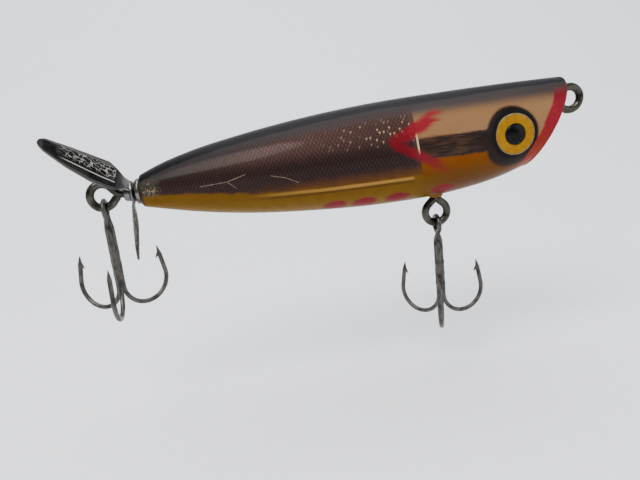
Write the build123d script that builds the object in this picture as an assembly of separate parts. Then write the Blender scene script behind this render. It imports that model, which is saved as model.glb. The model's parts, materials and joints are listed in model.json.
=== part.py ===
from build123d import *
import os
from math import cos, radians, sin

# Topwater popper with a tail propeller and two treble hooks, in millimetres.
# It is laid out with X from the tail face towards the nose, Z up from the tail shaft and Y to
# the left. It is written out with the centre of the line tie's ring as the origin.

# hull: distance from the tail face, back height, belly height, half width
STATIONS = [
    (0.0, 3.1, -3.1, 3.1),
    (4.0, 4.7, -4.1, 4.3),
    (11.0, 6.7, -5.7, 5.9),
    (21.0, 8.6, -7.4, 7.4),
    (34.0, 10.4, -8.7, 8.6),
    (50.0, 11.7, -9.4, 9.2),
    (63.0, 12.1, -8.9, 9.0),
    (75.0, 12.3, -6.9, 8.2),
    (84.0, 12.3, -3.8, 7.4),
    (94.0, 12.2, -0.2, 6.3),
]
WALL = 1.5
CAVITY_START = 3.5
TAIL_ROUND = 0.6

# slanted, dished face: the top of its lip, its lean from square and the ball that hollows it
LIP_TOP = (89.8, 12.3)
LIP_ROUND = 0.6
FACE_LEAN = 29.0
FACE_HALF_HEIGHT = 8.0
FACE_WALL = 2.4
DISH_RADIUS = 22.0
DISH_DEPTH = 1.4

# screw eyes: ring centre line, wire radius, and where each ring and screw lies
EYE_RING = 2.4
EYE_WIRE = 0.85
SCREW_TIP = 1.6
SCREW_TIP_RADIUS = 0.15
BOSS = 2.1
BOSS_PAST_SCREW = 1.0
TIE_X = 91.2
TIE_Z = 7.5
TIE_SCREW = 15.0
BELLY_X = 60.5
BELLY_RING_Z = -13.0
BELLY_SCREW = 14.0
BELLY_PAD_RADIUS = 1.7
BELLY_PAD_Z = -9.6
BELLY_PAD_HEIGHT = 2.0
TAIL_RING_X = -7.5
TAIL_SCREW = 20.0

# bearing cups on the tail shaft: mouth station, mouth radius and depth, opening towards the tail
RUN_FIT = 0.08
CUP_WALL = 0.35
CUP_NECK = 1.3
FRONT_CUP = (-0.05, 2.6, 1.2)
REAR_CUP = (-2.0, 1.75, 1.3)

# propeller
HUB_X = -1.65
HUB_RADIUS = 2.3
HUB_THICK = 0.45
BLADE_ROOT = 1.9
BLADE_LENGTH = 19.5
BLADE_CHORD = 6.4
BLADE_THICK = 0.4
BLADE_NECK = 1.9
BLADE_PITCH = 10.0
# azimuth from straight up towards the left, and sweep towards the ring, of each blade
BLADES = ((-38.0, 41.5), (144.0, 10.0))

# eyes: discs on an axis across the head, with distances from the seam
IRIS_X = 75.2
IRIS_Z = 2.7
IRIS_RADIUS = 4.0
IRIS_BACK = 6.2
IRIS_FRONT = 8.45
IRIS_ROUND = 0.3
PUPIL_RADIUS = 2.1
PUPIL_BACK = 7.4
PUPIL_FRONT = 8.95
PUPIL_DOME = 4.5
SOCKET_WALL = 1.0

# reflective inserts behind the clear wall
INSERT_GAP = 0.08
INSERT_THICK = 0.3
INSERT_LOW = -5.0
INSERT_SEAM = 2.7
SCALE_SPAN = (7.0, 56.6)
HEAD_SPAN = (57.2, 82.0)

# ballast slug and the two ribs that hold it
BALLAST_SPAN = (22.0, 31.0)
BALLAST_RADIUS = 2.0
BALLAST_Z = -3.9
RIB_THICK = 1.1
RIB_HALF_WIDTH = 2.5

# treble hooks, measured from the centre of the ring that each hangs on
HOOK_WIRE = 0.5
HOOK_EYE = 1.75
HOOK_EYE_Z = -2.7
HOOK_LENGTH = 24.4
HOOK_BEND = 4.8
HOOK_TURN = 190.0
HOOK_LEG = 3.6
HOOK_POINT = 2.2
HOOK_POINT_RADIUS = 0.06
BARB_LENGTH = 1.5
BARB_RISE = 0.55
BARB_THICK = 0.4
SHANK_OFFSET = 0.6
SINGLE_TOP = -6.6
BRAZE_RADIUS = 1.22
BRAZE_SPAN = (-17.6, -10.4)
# azimuth of each bend from the nose towards the left, the brazed single hook first
TAIL_HOOK = (-90.0, 30.0, 150.0)
BELLY_HOOK = (-110.0, 10.0, 130.0)

SIDES = ((1, "left"), (-1, "right"))
FAR = 200.0
UP_FROM_BASE = (Align.CENTER, Align.CENTER, Align.MIN)


def bar(start, end, radius):
    """A round bar between two points."""
    start = Vector(*start)
    reach = Vector(*end) - start
    return Plane(origin=start, z_dir=reach) * Cylinder(radius, reach.length, align=UP_FROM_BASE)


def slab(x_from, x_to, z_from, z_to, half_width=FAR):
    """A block between two stations and two heights, across the seam."""
    centre = Pos((x_from + x_to) / 2, 0, (z_from + z_to) / 2)
    return centre * Box(x_to - x_from, 2 * half_width, z_to - z_from)


def half_space(side):
    """Everything on one side of the seam: side is 1 for left and -1 for right."""
    return Pos(0, side * FAR / 2, 0) * Box(2 * FAR, FAR, 2 * FAR)


def hull_solid(inset):
    """The hull's outer shape, drawn in by inset all round and running on past the face."""
    sections = []
    for x, back, belly, half_width in STATIONS:
        plane = Plane(origin=(x, 0, (back + belly) / 2), x_dir=(0, 0, -1), z_dir=(1, 0, 0))
        sections.append(plane * Ellipse((back - belly) / 2 - inset, half_width - inset))
    return loft(sections)


def face_normal():
    """The direction in which the slanted face looks: forwards and down."""
    return Vector(cos(radians(FACE_LEAN)), 0, -sin(radians(FACE_LEAN)))


def behind_face(offset):
    """The half space behind a plane that lies offset behind the face."""
    start = Vector(LIP_TOP[0], 0, LIP_TOP[1]) - face_normal() * offset
    plane = Plane(origin=start, x_dir=(0, 1, 0), z_dir=face_normal())
    return plane * Box(FAR, FAR, FAR, align=(Align.CENTER, Align.CENTER, Align.MAX))


def dish():
    """The ball that hollows the face."""
    down_face = Vector(-sin(radians(FACE_LEAN)), 0, -cos(radians(FACE_LEAN)))
    middle = Vector(LIP_TOP[0], 0, LIP_TOP[1]) + down_face * FACE_HALF_HEIGHT
    return Pos(middle + face_normal() * (DISH_RADIUS - DISH_DEPTH)) * Sphere(DISH_RADIUS)


def eye_axis(side, depth_from, depth_to, radius):
    """A round plug on an eye's axis between two distances from the seam."""
    return bar((IRIS_X, side * depth_from, IRIS_Z), (IRIS_X, side * depth_to, IRIS_Z), radius)


def screw_eye(centre, inward, length):
    """A ring in the XZ plane with a pointed screw shank that leaves it along inward."""
    centre = Vector(*centre)
    inward = Vector(*inward)
    tip_start = centre + inward * (length - SCREW_TIP)
    ring = Pos(centre) * Rot(90, 0, 0) * Torus(EYE_RING, EYE_WIRE)
    shank = bar(centre + inward * EYE_RING, tip_start, EYE_WIRE)
    tip = Cone(EYE_WIRE, SCREW_TIP_RADIUS, SCREW_TIP, align=UP_FROM_BASE)
    return ring + shank + Plane(origin=tip_start, z_dir=inward) * tip


def make_screw_eyes():
    """The line tie, the belly hanger and the tail hanger, whose shank is the propeller's shaft."""
    return {
        "line_tie": screw_eye((TIE_X, 0, TIE_Z), (-1, 0, 0), TIE_SCREW),
        "belly_hanger": screw_eye((BELLY_X, 0, BELLY_RING_Z), (0, 0, 1), BELLY_SCREW),
        "tail_hanger": screw_eye((TAIL_RING_X, 0, 0), (1, 0, 0), TAIL_SCREW),
    }


def hull_outside():
    """The hull as one block: loft, rounded tail edge, slanted face and dish."""
    outer = hull_solid(0) & behind_face(0)
    tail_edge = outer.edges().sort_by(Axis.X)[0]
    outer = fillet(tail_edge, TAIL_ROUND)
    face = outer.faces().sort_by(Axis(origin=(0, 0, 0), direction=face_normal()))[-1]
    return fillet(face.edges(), LIP_ROUND) - dish()


def hull_inside():
    """What stands inside the cavity: screw bosses, eye sockets and the ballast ribs."""
    tail_boss_end = TAIL_RING_X + TAIL_SCREW + BOSS_PAST_SCREW
    tie_boss_end = TIE_X - TIE_SCREW - BOSS_PAST_SCREW
    belly_boss_end = BELLY_RING_Z + BELLY_SCREW + BOSS_PAST_SCREW
    inside = bar((0, 0, 0), (tail_boss_end, 0, 0), BOSS)
    inside += bar((tie_boss_end, 0, TIE_Z), (LIP_TOP[0], 0, TIE_Z), BOSS)
    inside += bar((BELLY_X, 0, BELLY_PAD_Z), (BELLY_X, 0, belly_boss_end), BOSS)
    for side, _ in SIDES:
        inside += eye_axis(side, IRIS_BACK - SOCKET_WALL, IRIS_FRONT, IRIS_RADIUS + SOCKET_WALL)
    rib_top = BALLAST_Z + BALLAST_RADIUS
    for rib_start in (BALLAST_SPAN[0] - RIB_THICK, BALLAST_SPAN[1]):
        inside += slab(rib_start, rib_start + RIB_THICK, -FAR / 4, rib_top, RIB_HALF_WIDTH)
    return inside


def make_shells(screws):
    """The two clear half shells, with the screws' holes and the eye sockets cut out."""
    cavity = hull_solid(WALL) & behind_face(FACE_WALL + DISH_DEPTH) & slab(CAVITY_START, FAR, -FAR, FAR)
    hull = hull_outside() - cavity + (hull_inside() & cavity)
    pad_top = BELLY_PAD_Z + BELLY_PAD_HEIGHT
    hull += bar((BELLY_X, 0, BELLY_PAD_Z), (BELLY_X, 0, pad_top), BELLY_PAD_RADIUS)
    for screw in screws.values():
        hull -= screw
    shells = {}
    for side, name in SIDES:
        socket = eye_axis(side, IRIS_BACK, FAR, IRIS_RADIUS)
        shells[f"body_shell_{name}"] = (hull & half_space(side)) - socket
    return shells


def make_inserts():
    """The scaled insert of the body and the smooth insert of the cheek, left and right."""
    skin = hull_solid(WALL + INSERT_GAP) - hull_solid(WALL + INSERT_GAP + INSERT_THICK)
    skin &= behind_face(FACE_WALL + DISH_DEPTH + INSERT_GAP)
    skin -= slab(-FAR, FAR, -FAR, FAR, INSERT_SEAM)
    scales = skin & slab(*SCALE_SPAN, INSERT_LOW, FAR)
    cheeks = skin & slab(*HEAD_SPAN, INSERT_LOW, FAR)
    inserts = {}
    for side, name in SIDES:
        socket = eye_axis(side, 0, IRIS_FRONT, IRIS_RADIUS + SOCKET_WALL + INSERT_GAP)
        inserts[f"scale_reflector_{name}"] = scales & half_space(side)
        inserts[f"head_reflector_{name}"] = (cheeks & half_space(side)) - socket
    return inserts


def make_eyes():
    """A flat iris let into each shell, with a domed pupil let into the iris."""
    eyes = {}
    for side, name in SIDES:
        iris = eye_axis(side, IRIS_BACK, IRIS_FRONT, IRIS_RADIUS)
        rims = iris.edges().filter_by(GeomType.CIRCLE).sort_by(Axis((0, 0, 0), (0, side, 0)))
        dome_centre = Pos(IRIS_X, side * (PUPIL_FRONT - PUPIL_DOME), IRIS_Z)
        pupil = eye_axis(side, PUPIL_BACK, PUPIL_FRONT, PUPIL_RADIUS) & (dome_centre * Sphere(PUPIL_DOME))
        eyes[f"eye_iris_{name}"] = fillet(rims[-1], IRIS_ROUND) - pupil
        eyes[f"eye_pupil_{name}"] = pupil
    return eyes


def bearing_cup(mouth_x, mouth_radius, depth):
    """A thin dished cup on the tail shaft, its mouth towards the tail."""
    end_x = mouth_x - depth
    bore = EYE_WIRE + RUN_FIT
    outline = Polyline(
        (mouth_x, mouth_radius - CUP_WALL),
        (mouth_x, mouth_radius),
        (end_x, CUP_NECK),
        (end_x, bore),
        (end_x + CUP_WALL, bore),
        close=True,
    )
    return revolve(make_face(Plane.XZ * outline), Axis.X)


def blade_outline():
    """A narrow neck, a broad root and a long taper to a rounded tip, mirrored about its length."""
    half = BLADE_CHORD / 2
    neck = BLADE_NECK / 2
    tip_start = (BLADE_LENGTH * 0.95, half * 0.34)
    side = Spline(
        (0, neck),
        (BLADE_LENGTH * 0.10, neck * 1.1),
        (BLADE_LENGTH * 0.36, half),
        (BLADE_LENGTH * 0.70, half * 0.78),
        tip_start,
        tangents=((1, 0), (1, -0.9)),
    )
    tip = ThreePointArc(tip_start, (BLADE_LENGTH, 0), (tip_start[0], -tip_start[1]))
    return make_face([side, tip, mirror(side, Plane.XZ), Line((0, -neck), (0, neck))])


def make_propeller():
    """A stamped propeller: a flat hub and two blades bent towards the ring, bored for the shaft."""
    flat = extrude(blade_outline(), BLADE_THICK / 2, both=True)
    upright = Rot(0, -90, 0) * Rot(-BLADE_PITCH, 0, 0) * flat
    propeller = bar((HUB_X - HUB_THICK / 2, 0, 0), (HUB_X + HUB_THICK / 2, 0, 0), HUB_RADIUS)
    for azimuth, sweep in BLADES:
        root = Pos(HUB_X, 0, 0) * Rot(-azimuth, 0, 0) * Pos(0, 0, BLADE_ROOT)
        propeller += root * Rot(0, -sweep, 0) * upright
    return propeller - bar((-FAR, 0, 0), (FAR, 0, 0), EYE_WIRE + RUN_FIT)


def hook_wire(azimuth, top):
    """One hook of a treble: shank from top, round bend, point leg, point and barb."""
    bend_z = -HOOK_LENGTH + HOOK_WIRE + HOOK_BEND
    middle = Vector(SHANK_OFFSET + HOOK_BEND, bend_z)
    turned = radians(HOOK_TURN - 180)
    outward = Vector(cos(turned), sin(turned))
    along = Vector(-sin(turned), cos(turned))
    leg_start = middle + outward * HOOK_BEND
    leg_end = leg_start + along * HOOK_LEG
    shank = Line((SHANK_OFFSET, top), (SHANK_OFFSET, bend_z))
    bend = CenterArc(middle, HOOK_BEND, 180, HOOK_TURN)
    path = Plane.XZ * Wire([shank, bend, Line(leg_start, leg_end)])
    wire = sweep(Plane(origin=(SHANK_OFFSET, 0, top), z_dir=(0, 0, -1)) * Circle(HOOK_WIRE), path=path)
    point_plane = Plane(origin=(leg_end.X, 0, leg_end.Y), z_dir=(along.X, 0, along.Y))
    point = point_plane * Cone(HOOK_WIRE, HOOK_POINT_RADIUS, HOOK_POINT, align=UP_FROM_BASE)
    barb_back = leg_end - along * BARB_LENGTH
    barb = Polyline(
        leg_end + along * (HOOK_POINT / 3),
        barb_back - outward * (HOOK_WIRE + BARB_RISE),
        barb_back + along * (BARB_LENGTH / 3),
        close=True,
    )
    barb = extrude(make_face(Plane.XZ * barb), BARB_THICK / 2, both=True)
    return Rot(0, 0, azimuth) * (wire + point + barb)


def make_treble(place, ring_centre, azimuths):
    """A treble: a double hook bent from one wire with its eye, a single hook, and the braze."""
    eye_foot = HOOK_EYE_Z - HOOK_EYE
    tops = (SINGLE_TOP, eye_foot, eye_foot)
    single, first, second = (hook_wire(azimuth, top) for azimuth, top in zip(azimuths, tops))
    eye = Pos(0, 0, HOOK_EYE_Z) * Rot(0, 90, 0) * Torus(HOOK_EYE, HOOK_WIRE)
    braze = bar((0, 0, BRAZE_SPAN[0]), (0, 0, BRAZE_SPAN[1]), BRAZE_RADIUS) - single - first - second
    hang = Pos(*ring_centre)
    return {
        f"{place}_hook_double": hang * (eye + first + second),
        f"{place}_hook_single": hang * single,
        f"{place}_hook_braze": hang * braze,
    }


screws = make_screw_eyes()
nodes = {
    **make_shells(screws),
    **make_inserts(),
    **make_eyes(),
    **screws,
    "front_prop_cup": bearing_cup(*FRONT_CUP),
    "rear_prop_cup": bearing_cup(*REAR_CUP),
    "propeller": make_propeller(),
    "ballast": bar((BALLAST_SPAN[0], 0, BALLAST_Z), (BALLAST_SPAN[1], 0, BALLAST_Z), BALLAST_RADIUS),
    **make_treble("tail", (TAIL_RING_X, 0, 0), TAIL_HOOK),
    **make_treble("belly", (BELLY_X, 0, BELLY_RING_Z), BELLY_HOOK),
}

os.makedirs("parts", exist_ok=True)
for name, shape in nodes.items():
    export_step(Pos(-TIE_X, 0, -TIE_Z) * shape, f"parts/{name}.step")
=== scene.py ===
import json
from math import atan2, cos, pi, radians, sin, tan

import bmesh
import bpy
import numpy as np
from mathutils import Matrix, Vector


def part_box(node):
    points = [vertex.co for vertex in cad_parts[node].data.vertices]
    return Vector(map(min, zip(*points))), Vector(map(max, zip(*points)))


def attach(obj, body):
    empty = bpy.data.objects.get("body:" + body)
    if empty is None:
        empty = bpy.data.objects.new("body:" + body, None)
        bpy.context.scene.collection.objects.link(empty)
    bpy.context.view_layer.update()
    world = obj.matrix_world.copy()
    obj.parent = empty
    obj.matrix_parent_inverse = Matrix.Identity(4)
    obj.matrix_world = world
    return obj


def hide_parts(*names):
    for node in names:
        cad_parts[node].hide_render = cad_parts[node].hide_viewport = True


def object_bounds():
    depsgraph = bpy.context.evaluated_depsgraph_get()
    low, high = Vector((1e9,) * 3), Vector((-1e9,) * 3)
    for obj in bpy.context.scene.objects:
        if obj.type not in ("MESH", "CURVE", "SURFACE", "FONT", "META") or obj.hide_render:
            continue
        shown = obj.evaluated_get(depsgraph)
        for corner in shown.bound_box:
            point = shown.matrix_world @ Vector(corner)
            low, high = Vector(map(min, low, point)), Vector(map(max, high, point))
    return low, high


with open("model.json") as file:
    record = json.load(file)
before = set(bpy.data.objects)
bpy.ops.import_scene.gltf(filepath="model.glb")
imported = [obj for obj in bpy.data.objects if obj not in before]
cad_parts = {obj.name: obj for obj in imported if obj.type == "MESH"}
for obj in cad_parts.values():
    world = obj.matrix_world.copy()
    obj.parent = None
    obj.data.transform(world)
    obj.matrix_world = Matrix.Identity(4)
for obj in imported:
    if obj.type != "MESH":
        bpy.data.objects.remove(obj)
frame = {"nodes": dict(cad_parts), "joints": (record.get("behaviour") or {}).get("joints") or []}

CAD_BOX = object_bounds()
JOINTS = {joint["name"]: joint for joint in frame["joints"]}
HUB = Vector(JOINTS["prop_spin"]["pos_m"])
TAIL_RING = Vector(JOINTS["tail_hook_swing"]["pos_m"])
BELLY_RING = Vector(JOINTS["belly_hook_swing"]["pos_m"])
TAIL_FACE = Vector((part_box("body_shell_left")[0].x, 0, HUB.z))
MM = 0.001
WELD = 1e-7
SHARP_ANGLE = radians(38)

# The shapes below are laid out in millimetres from the middle of the tail face: X to the nose,
# Y to the left and Z up. They follow the CAD model's own driving dimensions.

# hull: distance from the tail face, back height, belly height, half width
STATIONS = np.array([
    (0.0, 3.1, -3.1, 3.1),
    (4.0, 4.7, -4.1, 4.3),
    (11.0, 6.7, -5.7, 5.9),
    (21.0, 8.6, -7.4, 7.4),
    (34.0, 10.4, -8.7, 8.6),
    (50.0, 11.7, -9.4, 9.2),
    (63.0, 12.1, -8.9, 9.0),
    (75.0, 12.3, -6.9, 8.2),
    (84.0, 12.3, -3.8, 7.4),
    (94.0, 12.2, -0.2, 6.3),
])
TAIL_ROUND = 0.6
LIP_TOP = (89.8, 12.3)
LIP_ROUND = 0.6
FACE_LEAN = radians(29.0)
LEAN_SPAN = (52.0, 87.0)
DISH_DEPTH = 1.4

# eyes
EYE_X = 75.2
EYE_Z = 2.7
IRIS_RADIUS = 4.0
IRIS_BACK = 6.2
IRIS_FRONT = 8.4
PUPIL_RADIUS = 2.1
PUPIL_BACK = 7.4
PUPIL_FRONT = 8.9

# screw eyes
EYE_RING = 2.4
EYE_WIRE = 0.85
BORE = EYE_WIRE + 0.08
TIE_SCREW = 15.0
BELLY_SCREW = 14.0
TAIL_SCREW = 20.0
BELLY_PAD_Z = -9.6

# propeller
HUB_RADIUS = 2.3
HUB_THICK = 0.45
BLADE_ROOT = 1.9
BLADE_LENGTH = 19.5
# share of a blade's length that its tip is rounded over
BLADE_TIP = 0.085
BLADE_THICK = 0.38
BLADE_PITCH = radians(10.0)
# azimuth from straight up towards the left, and sweep towards the tail ring, of each blade
BLADES = ((-38.0, 41.5), (144.0, 10.0))
# what the etched material reads on the hub: field, distance along and across a blade
HUB_GUIDE = (0.0, 2.4, 0.0)

# treble hooks
HOOK_WIRE = 0.5
HOOK_EYE = 1.75
HOOK_EYE_Z = -2.7
HOOK_LENGTH = 24.4
HOOK_BEND = 4.8
HOOK_TURN = radians(190.0)
HOOK_LEG = 3.6
HOOK_POINT = 2.2
SHANK_OFFSET = 0.6
SINGLE_TOP = -6.6
BRAZE_SPAN = (-17.6, -10.4)
# azimuth of each bend from the nose towards the left, the brazed single hook first
TAIL_HOOK = (-90.0, 30.0, 150.0)
BELLY_HOOK = (-110.0, 10.0, 130.0)

# camera: where it stands and looks, its lens and its roll
CAMERA_PLACE = (18.5, -131.8, 22.3)
CAMERA_TARGET = (34.7, 0.0, -15.5)
CAMERA_LENS = 36.56
CAMERA_ROLL = radians(-6.5)

# stage, in metres: the gap under the lure, the floor's reach and the curve up to the backdrop
FLOOR_GAP = 0.012
FLOOR_REACH = 3.0
COVE_START = 0.10
COVE_RADIUS = 0.25
BACKDROP_TOP = 0.9
# each light's place from the lure's middle, its size, power and tone
LIGHTS = {
    "key": ((-0.25, -0.35, 0.55), 0.45, 7.5, (1.0, 0.98, 0.95)),
    "fill": ((0.5, -0.4, 0.2), 0.6, 2.0, (0.93, 0.96, 1.0)),
    "top": ((0.05, 0.15, 0.6), 0.6, 4.0, (1.0, 1.0, 1.0)),
}
SKY = (0.82, 0.88, 1.0, 1.0)
SKY_STRENGTH = 0.38


# ---------------------------------------------------------------- mesh helpers

def shade_smooth(mesh):
    """Smooth shading with the real corners kept sharp."""
    mesh.polygons.foreach_set("use_smooth", [True] * len(mesh.polygons))
    mesh.set_sharp_from_angle(angle=SHARP_ANGLE)


def new_piece(name, shell, material, body, replaced=(), guides=None):
    """A smooth-shaded closed mesh from a shell in metres, riding on a CAD body.

    guides maps attribute names to one value for each of the shell's points.
    """
    points, faces = shell
    mesh = bpy.data.meshes.new(name)
    mesh.from_pydata([tuple(p) for p in points], [], faces)
    for guide, values in (guides or {}).items():
        mesh.attributes.new(guide, "FLOAT", "POINT").data.foreach_set("value", values)
    tidy = bmesh.new()
    tidy.from_mesh(mesh)
    bmesh.ops.remove_doubles(tidy, verts=tidy.verts, dist=WELD)
    bmesh.ops.recalc_face_normals(tidy, faces=tidy.faces)
    tidy.to_mesh(mesh)
    tidy.free()
    shade_smooth(mesh)
    mesh.materials.append(material)
    piece = bpy.data.objects.new(name, mesh)
    bpy.context.scene.collection.objects.link(piece)
    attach(piece, body)
    if replaced:
        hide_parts(*replaced)
    return piece


def skin(rows, closed_row=False, cap_ends=False):
    """Quads that join equal rows of points, as (points, faces)."""
    count = len(rows[0])
    points = [p for row in rows for p in row]
    faces = []
    for i in range(len(rows) - 1):
        for j in range(count if closed_row else count - 1):
            k = (j + 1) % count
            faces.append((i * count + j, i * count + k, (i + 1) * count + k, (i + 1) * count + j))
    if cap_ends:
        faces.append(tuple(range(count)))
        faces.append(tuple(range((len(rows) - 1) * count, len(rows) * count)))
    return points, faces


def join(*shells):
    """Several (points, faces) shells as one."""
    points = []
    faces = []
    for shell_points, shell_faces in shells:
        start = len(points)
        points.extend(shell_points)
        faces.extend(tuple(start + i for i in face) for face in shell_faces)
    return points, faces


def tube(path, radii, sides=18):
    """A round tube along a list of points, with a radius at each and closed ends."""
    path = [Vector(p) for p in path]
    tangents = []
    for i in range(len(path)):
        ahead = path[min(i + 1, len(path) - 1)]
        behind = path[max(i - 1, 0)]
        tangents.append((ahead - behind).normalized())
    side = tangents[0].orthogonal().normalized()
    rows = []
    for point, tangent, radius in zip(path, tangents, radii):
        side = (side - tangent * side.dot(tangent)).normalized()
        across = tangent.cross(side)
        rows.append([
            point + (side * cos(2 * pi * k / sides) + across * sin(2 * pi * k / sides)) * radius
            for k in range(sides)
        ])
    return skin(rows, closed_row=True, cap_ends=True)


def lathe(profile, origin, axis, sides=96):
    """A closed profile of (along, radius) pairs turned about an axis."""
    axis = Vector(axis).normalized()
    side = axis.orthogonal().normalized()
    across = axis.cross(side)
    rows = []
    for along, radius in profile + profile[:1]:
        rows.append([
            Vector(origin) + axis * along
            + (side * cos(2 * pi * k / sides) + across * sin(2 * pi * k / sides)) * radius
            for k in range(sides)
        ])
    return skin(rows, closed_row=True)


def in_metres(shell, origin):
    """A shell in millimetres moved to an origin in metres."""
    points, faces = shell
    return [Vector(origin) + Vector(p) * MM for p in points], faces


def blend_points(start, start_pull, end, end_pull, count):
    """Points of a smooth curve between two points with a direction at each end."""
    points = []
    for i in range(count):
        t = i / (count - 1)
        points.append(
            Vector(start) * (2 * t**3 - 3 * t**2 + 1) + Vector(start_pull) * (t**3 - 2 * t**2 + t)
            + Vector(end) * (-2 * t**3 + 3 * t**2) + Vector(end_pull) * (t**3 - t**2)
        )
    return points


def smooth_step(value, low, high):
    """0 at low, 1 at high and an S-curve between; falls where low is above high."""
    t = min(max((value - low) / (high - low), 0.0), 1.0)
    return t * t * (3 - 2 * t)


# ---------------------------------------------------------------- shader helpers

class Value:
    """A shader socket that can be used in plain arithmetic."""

    def __init__(self, graph, socket):
        self.graph = graph
        self.socket = socket

    def __add__(self, other):
        return self.graph.math("ADD", self, other)

    def __sub__(self, other):
        return self.graph.math("SUBTRACT", self, other)

    def __rsub__(self, other):
        return self.graph.math("SUBTRACT", other, self)

    def __mul__(self, other):
        return self.graph.math("MULTIPLY", self, other)

    __radd__ = __add__
    __rmul__ = __mul__


class Graph:
    """One node material under construction."""

    def __init__(self, name):
        self.material = bpy.data.materials.new(name)
        self.material.use_nodes = True
        self.nodes = self.material.node_tree.nodes
        self.links = self.material.node_tree.links
        self.shader = self.nodes["Principled BSDF"]

    def put(self, target, source):
        """Sets a socket to a number or colour, or links a value to it."""
        if isinstance(source, Value):
            self.links.new(source.socket, target)
        elif isinstance(source, (tuple, list)) and len(source) == 3 and target.type == "RGBA":
            target.default_value = (*source, 1.0)
        else:
            target.default_value = source

    def set(self, **sockets):
        """Sets the Principled shader's sockets by name, with _ for a space."""
        for name, source in sockets.items():
            self.put(self.shader.inputs[name.replace("_", " ")], source)

    def math(self, operation, first, second=0.0):
        """One Math node's result."""
        node = self.nodes.new("ShaderNodeMath")
        node.operation = operation
        self.put(node.inputs[0], first)
        self.put(node.inputs[1], second)
        return Value(self, node.outputs[0])

    def attribute(self, name):
        """A number that the mesh stores for each point."""
        node = self.nodes.new("ShaderNodeAttribute")
        node.attribute_name = name
        return Value(self, node.outputs["Fac"])

    def place(self, stretch=(1.0, 1.0, 1.0)):
        """Object coordinates in millimetres, stretched along each axis."""
        coordinates = self.nodes.new("ShaderNodeTexCoord")
        mapping = self.nodes.new("ShaderNodeMapping")
        mapping.inputs["Scale"].default_value = [1000.0 * s for s in stretch]
        self.links.new(coordinates.outputs["Object"], mapping.inputs["Vector"])
        return Value(self, mapping.outputs["Vector"])

    def noise(self, size, detail=3.0, stretch=(1.0, 1.0, 1.0), rough=0.55):
        """Noise between 0 and 1 with blobs of about size millimetres."""
        node = self.nodes.new("ShaderNodeTexNoise")
        self.put(node.inputs["Vector"], self.place(stretch))
        node.inputs["Scale"].default_value = 1.0 / size
        node.inputs["Detail"].default_value = detail
        node.inputs["Roughness"].default_value = rough
        return Value(self, node.outputs["Fac"])

    def ramp(self, value, low, high):
        """0 below low, 1 above high and smooth between; falls where low is above high."""
        node = self.nodes.new("ShaderNodeMapRange")
        node.interpolation_type = "SMOOTHSTEP"
        falling = low > high
        self.put(node.inputs["Value"], value)
        node.inputs["From Min"].default_value = min(low, high)
        node.inputs["From Max"].default_value = max(low, high)
        node.inputs["To Min"].default_value = 1.0 if falling else 0.0
        node.inputs["To Max"].default_value = 0.0 if falling else 1.0
        return Value(self, node.outputs["Result"])

    def band(self, value, low, high, soft):
        """1 between low and high, with soft edges outside them."""
        return self.ramp(value, low - soft, low) * self.ramp(value, high + soft, high)

    def mix(self, mask, under, over):
        """Two colours mixed by a mask. The Mix node keeps its colour sockets at 6 and 7."""
        node = self.nodes.new("ShaderNodeMix")
        node.data_type = "RGBA"
        self.put(node.inputs["Factor"], mask)
        self.put(node.inputs[6], under)
        self.put(node.inputs[7], over)
        return Value(self, node.outputs[2])

    def blend(self, mask, under, over):
        """The same mix for plain numbers, whose sockets are 2 and 3."""
        node = self.nodes.new("ShaderNodeMix")
        self.put(node.inputs["Factor"], mask)
        self.put(node.inputs[2], under)
        self.put(node.inputs[3], over)
        return Value(self, node.outputs[0])

    def bump(self, height, depth):
        """A bump normal whose full height is depth millimetres."""
        node = self.nodes.new("ShaderNodeBump")
        node.inputs["Strength"].default_value = 1.0
        node.inputs["Distance"].default_value = depth * MM
        self.put(node.inputs["Height"], height)
        return Value(self, node.outputs["Normal"])

    def dice(self, first, second):
        """A random number from 0 to 1 for each pair of whole numbers."""
        pair = self.nodes.new("ShaderNodeCombineXYZ")
        self.put(pair.inputs[0], first)
        self.put(pair.inputs[1], second)
        node = self.nodes.new("ShaderNodeTexWhiteNoise")
        self.links.new(pair.outputs[0], node.inputs["Vector"])
        return Value(self, node.outputs["Value"])

    def distance(self, off_x, off_z):
        """The length of an offset."""
        return self.math("SQRT", off_x * off_x + off_z * off_z)

    def stroke(self, x, z, start, end):
        """The distance from a straight brush stroke between two points, in millimetres."""
        run = Vector(end) - Vector(start)
        along = run / run.length_squared
        t = self.math("MULTIPLY", x - start[0], along.x) + self.math("MULTIPLY", z - start[1], along.y)
        t = self.math("MINIMUM", self.math("MAXIMUM", t, 0.0), 1.0)
        return self.distance(x - start[0] - t * run.x, z - start[1] - t * run.y)


# ---------------------------------------------------------------- materials

# paint colours, among them painted highlights, glints and shade, as linear red, green and blue
COPPER_SHADE = (0.035, 0.018, 0.016)
COPPER_LIGHT = (0.073, 0.038, 0.030)
COPPER_LINE = (0.010, 0.006, 0.006)
COPPER_TAIL = (0.011, 0.007, 0.006)
# painted highlight for the glinting scales
GLINT = (0.46, 0.28, 0.17)
BAND = (0.024, 0.013, 0.012)
BAND_LINE = (0.008, 0.005, 0.005)
LOW_BROWN = (0.065, 0.024, 0.006)
OLIVE = (0.100, 0.045, 0.001)
OLIVE_LOW = (0.130, 0.066, 0.001)
OLIVE_PATCH = (0.075, 0.033, 0.001)
# painted highlight and painted shade along the ridge at the insert's lower edge
EDGE_HIGHLIGHT = (0.26, 0.135, 0.03)
EDGE_SHADE = (0.050, 0.022, 0.003)
CHEEK = (0.200, 0.105, 0.047)
CHEEK_GRAIN = (0.145, 0.073, 0.031)
CHEEK_TOP = (0.050, 0.038, 0.032)
AMBER = (0.130, 0.034, 0.001)
AMBER_LOW = (0.075, 0.026, 0.001)
AMBER_PATCH = (0.085, 0.036, 0.001)
STRIPE = (0.016, 0.010, 0.008)
STRIPE_HAIR = (0.048, 0.026, 0.016)
STRIPE_FRONT = (0.010, 0.006, 0.006)
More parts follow.
